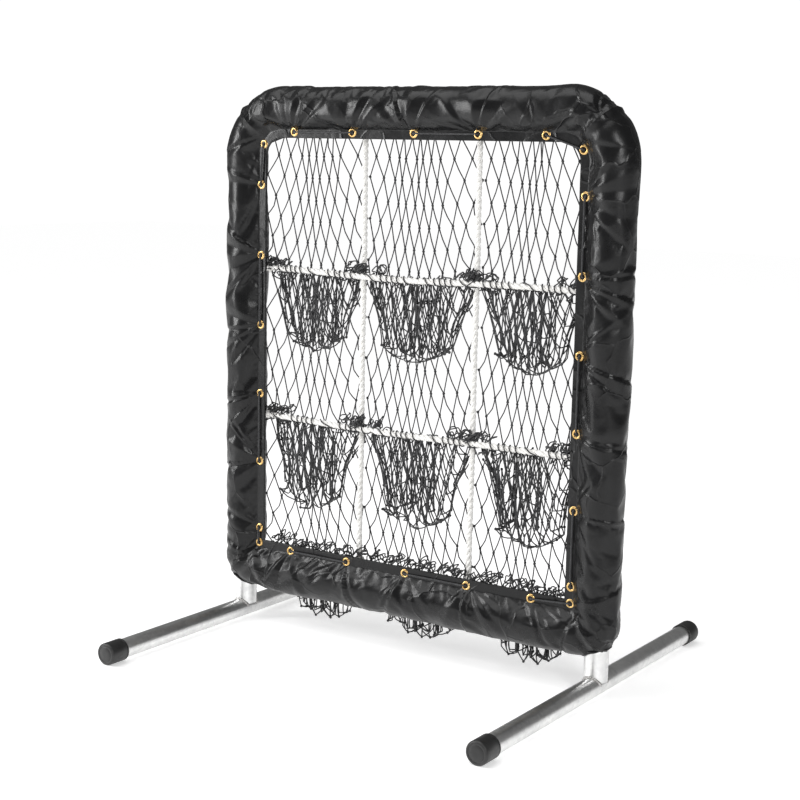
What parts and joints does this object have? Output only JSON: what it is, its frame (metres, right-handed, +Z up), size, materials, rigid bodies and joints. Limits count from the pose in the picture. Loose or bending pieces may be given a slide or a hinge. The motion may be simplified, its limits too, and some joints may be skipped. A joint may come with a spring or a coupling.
{
  "type": "pitching target net",
  "caption": "Free-standing pitching target: a padded upright steel frame divided by ropes into net pockets, on two pull-off T-shaped bases.",
  "frame": {"origin": "on the floor, midway between the two posts and midway along the legs", "axes": "+X across the frame, +Y away from the pitcher, +Z up"},
  "size_m": [0.838, 0.7706, 1.016],
  "materials": {
    "galvanised_steel": "satin, zinc coated",
    "foam": "matt closed-cell foam",
    "vinyl": "glossy wrinkled vinyl",
    "brass": "polished",
    "lacing": "braided cord",
    "rope": "twisted rope",
    "netting": "knotted twine",
    "end_cap": "satin moulded"
  },
  "bodies": {
    "frame": {"frame_hoop": "galvanised_steel", "bottom_crossbar": "galvanised_steel", "crossbar_weld_left": "galvanised_steel", "crossbar_weld_right": "galvanised_steel", "foam_top": "foam", "foam_left": "foam", "foam_right": "foam", "foam_bottom": "foam", "cover_top": "vinyl", "cover_left": "vinyl", "cover_right": "vinyl", "cover_bottom": "vinyl", "grommets": "brass", "grommet_washers": "brass", "lacing_cord": "lacing", "rope_upper": "rope", "rope_lower": "rope", "rope_upright_left": "rope", "rope_upright_right": "rope", "net_top_left": "netting", "net_top_middle": "netting", "net_top_right": "netting", "net_middle_left": "netting", "net_middle_middle": "netting", "net_middle_right": "netting", "net_bottom_left": "netting", "net_bottom_middle": "netting", "net_bottom_right": "netting"},
    "left_base": {"left_socket": "galvanised_steel", "left_socket_weld": "galvanised_steel", "left_leg_tube": "galvanised_steel"},
    "right_base": {"right_socket": "galvanised_steel", "right_socket_weld": "galvanised_steel", "right_leg_tube": "galvanised_steel"},
    "left_front_cap": {"left_front_cap": "end_cap"},
    "left_rear_cap": {"left_rear_cap": "end_cap"},
    "right_front_cap": {"right_front_cap": "end_cap"},
    "right_rear_cap": {"right_rear_cap": "end_cap"}
  },
  "joints": [
    {"name": "left_base_pull_off", "type": "slide", "parent": "frame", "child": "left_base", "axis": [0, 0, -1], "range_m": [0, 0.05]},
    {"name": "left_front_cap_pull_off", "type": "slide", "parent": "left_base", "child": "left_front_cap", "axis": [0, -1, 0], "range_m": [0, 0.036]},
    {"name": "left_rear_cap_pull_off", "type": "slide", "parent": "left_base", "child": "left_rear_cap", "axis": [0, 1, 0], "range_m": [0, 0.036]},
    {"name": "right_base_pull_off", "type": "slide", "parent": "frame", "child": "right_base", "axis": [0, 0, -1], "range_m": [0, 0.05]},
    {"name": "right_front_cap_pull_off", "type": "slide", "parent": "right_base", "child": "right_front_cap", "axis": [0, -1, 0], "range_m": [0, 0.036]},
    {"name": "right_rear_cap_pull_off", "type": "slide", "parent": "right_base", "child": "right_rear_cap", "axis": [0, 1, 0], "range_m": [0, 0.036]}
  ]
}
